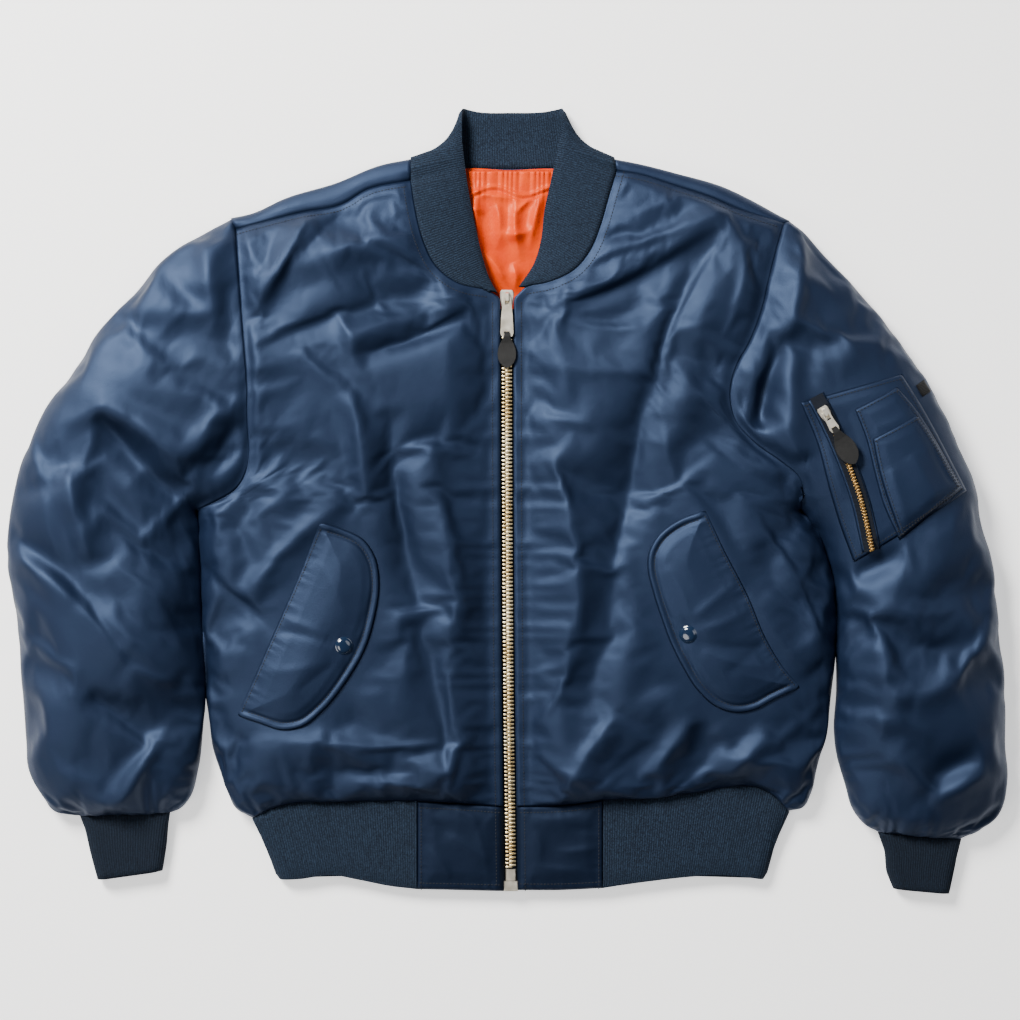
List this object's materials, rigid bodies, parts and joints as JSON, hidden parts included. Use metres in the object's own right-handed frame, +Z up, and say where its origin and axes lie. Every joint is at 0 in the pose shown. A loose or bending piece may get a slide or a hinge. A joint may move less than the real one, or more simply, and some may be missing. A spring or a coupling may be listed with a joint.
{
  "type": "bomber jacket",
  "caption": "Zip-front flight jacket in navy padded nylon with knitted collar, cuffs and hem, slanted flap pockets and a zipped sleeve pocket, laid flat on its back.",
  "frame": {"origin": "middle of the bounding box, on the surface the jacket lies on", "axes": "+X to the wearer's left, +Y towards the collar, +Z up from the surface"},
  "size_m": [0.9388, 0.7398, 0.0645],
  "materials": {
    "navy_nylon": "satin",
    "navy_rib_knit": "matt",
    "orange_lining": "satin",
    "zip_tape": "matt",
    "brass_teeth": "satin",
    "nickel": "satin",
    "black_leather": "satin",
    "snap_enamel": "gloss",
    "black_label": "matt"
  },
  "bodies": {
    "jacket": {"back_upper": "navy_nylon", "back_chest": "navy_nylon", "back_waist": "navy_nylon", "front_right": "navy_nylon", "front_left": "navy_nylon", "sleeve_right_front_upper": "navy_nylon", "sleeve_right_front_elbow": "navy_nylon", "sleeve_right_front_lower": "navy_nylon", "sleeve_right_back_upper": "navy_nylon", "sleeve_right_back_lower": "navy_nylon", "sleeve_left_front_upper": "navy_nylon", "sleeve_left_front_elbow": "navy_nylon", "sleeve_left_front_lower": "navy_nylon", "sleeve_left_back_upper": "navy_nylon", "sleeve_left_back_lower": "navy_nylon", "hem_tab_right": "navy_nylon", "hem_tab_left": "navy_nylon", "flap_right": "navy_nylon", "flap_left": "navy_nylon", "pocket_base": "navy_nylon", "pen_pocket": "navy_nylon", "pen_pocket_front": "navy_nylon", "lining_back": "orange_lining", "collar": "navy_rib_knit", "cuff_right": "navy_rib_knit", "cuff_left": "navy_rib_knit", "hem_rib": "navy_rib_knit", "zip_tape_right": "zip_tape", "zip_tape_left": "zip_tape", "pocket_zip_tape": "zip_tape", "zip_chain": "brass_teeth", "pocket_zip_chain": "brass_teeth", "zip_pin": "nickel", "zip_box": "nickel", "zip_slider": "nickel", "pocket_zip_slider": "nickel", "snap_right": "snap_enamel", "snap_left": "snap_enamel", "sleeve_label": "black_label"},
    "main_pull": {"main_pull_tab": "nickel", "main_pull_leather": "black_leather"},
    "pocket_pull": {"pocket_pull_tab": "nickel", "pocket_pull_leather": "black_leather"}
  },
  "joints": [
    {"name": "main_pull_swing", "type": "hinge", "parent": "jacket", "child": "main_pull", "pos_m": [-0.00062, 0.19, 0.02595], "axis": [-1, 0, 0], "range_deg": [0, 150]},
    {"name": "pocket_pull_swing", "type": "hinge", "parent": "jacket", "child": "pocket_pull", "pos_m": [0.29261, 0.08035, 0.06179], "axis": [-0.8618, -0.5069, -0.0169], "range_deg": [0, 150]}
  ]
}
